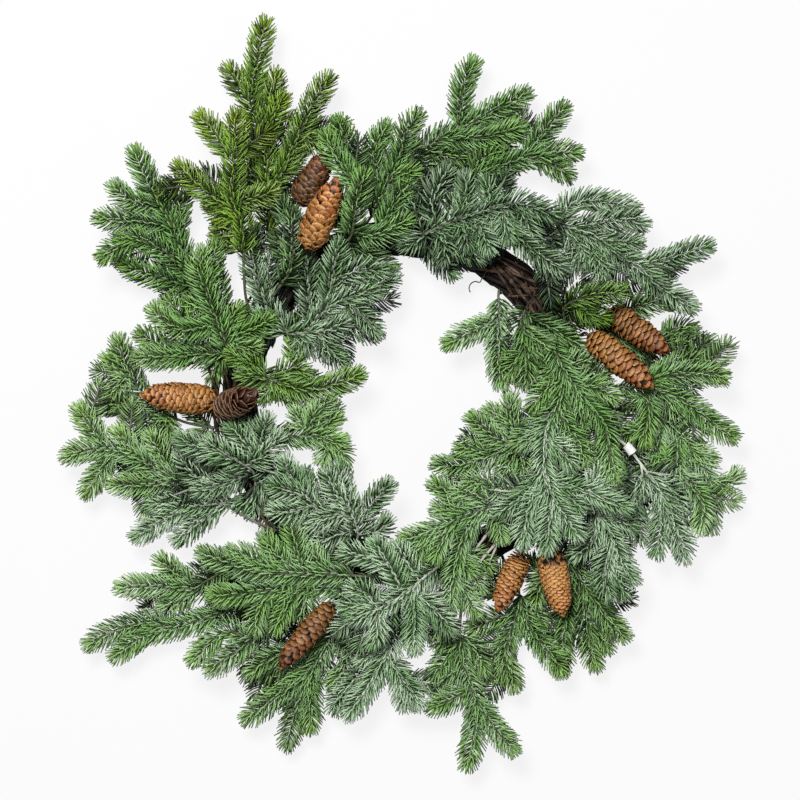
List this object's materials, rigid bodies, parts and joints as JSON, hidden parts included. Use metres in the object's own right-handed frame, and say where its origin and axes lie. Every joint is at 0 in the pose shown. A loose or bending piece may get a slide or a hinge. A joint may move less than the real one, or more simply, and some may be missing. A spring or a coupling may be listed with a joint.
{
  "type": "pine cone wreath",
  "caption": "Round wreath of frosted fir sprays and long spruce cones wired on a ring of twisted vine canes, to hang or lie flat.",
  "frame": {"origin": "middle of the bounding box in plan, on the surface that the canes rest on", "axes": "+Z away from the surface it lies on, towards the viewer; +Y to the top of the wreath as it would hang; +X to the viewer's right"},
  "size_m": [0.6994, 0.768, 0.1026],
  "materials": {
    "needles_fresh": "moulded needles, fresh green",
    "needles_green": "moulded needles, mid green",
    "needles_frosted": "moulded needles with a pale frosted bloom",
    "vine": "dried vine with rough bark",
    "wire": "thin dark binding wire",
    "tape": "white stem tape, matt",
    "cone_brown": "dry cone scales, dark brown",
    "cone_tan": "dry cone scales, golden tan",
    "cone_red": "dry cone scales, red brown"
  },
  "bodies": {
    "root": {"cone_top_dark": "cone_brown", "cone_top_tan": "cone_tan", "cone_left_long": "cone_red", "cone_left_open": "cone_brown", "cone_bottom_left": "cone_red", "cone_bottom_red": "cone_red", "cone_bottom_tan": "cone_tan", "cone_right_rear": "cone_red", "cone_right_front": "cone_tan", "spray_top_left_front": "needles_fresh", "spray_top_left_rear": "needles_fresh", "spray_top_left_inner": "needles_green", "spray_upper_left_frosted": "needles_frosted", "spray_left_inner_bright": "needles_fresh", "spray_left_top": "needles_green", "spray_left_front_brush": "needles_green", "spray_left_middle": "needles_green", "spray_left_far": "needles_green", "spray_left_lower": "needles_frosted", "spray_left_front_frosted": "needles_frosted", "spray_left_inner": "needles_green", "spray_lower_left_inner": "needles_frosted", "spray_lower_left_long": "needles_green", "spray_lower_left_upper": "needles_green", "spray_lower_left_far": "needles_green", "spray_bottom_left": "needles_green", "spray_bottom_frosted_front": "needles_frosted", "spray_bottom_frosted_low": "needles_frosted", "spray_bottom_down": "needles_green", "spray_bottom_middle": "needles_green", "spray_bottom_right": "needles_green", "spray_right_centre": "needles_frosted", "spray_upper_right_hanging": "needles_green", "spray_right_inner_upper": "needles_green", "spray_right_main": "needles_green", "spray_right_inner_lower": "needles_green", "spray_lower_right_inner": "needles_green", "spray_lower_right_frosted": "needles_frosted", "spray_right_taped": "needles_frosted", "spray_right_upper": "needles_green", "spray_right_outer": "needles_green", "spray_right_tip": "needles_green", "spray_upper_right": "needles_frosted", "spray_upper_frosted_stem": "needles_frosted", "spray_top_right_outer": "needles_green", "spray_top_right": "needles_green", "spray_top_middle": "needles_green", "spray_top_front": "needles_green", "spray_upper_right_bright": "needles_fresh", "stem_tape": "tape", "vine_cane_1": "vine", "vine_cane_2": "vine", "vine_cane_3": "vine", "vine_cane_4": "vine", "vine_cane_5": "vine", "vine_cane_6": "vine", "wire_tie_1": "wire", "wire_tie_2": "wire", "wire_tie_3": "wire", "wire_tie_4": "wire"}
  },
  "joints": []
}
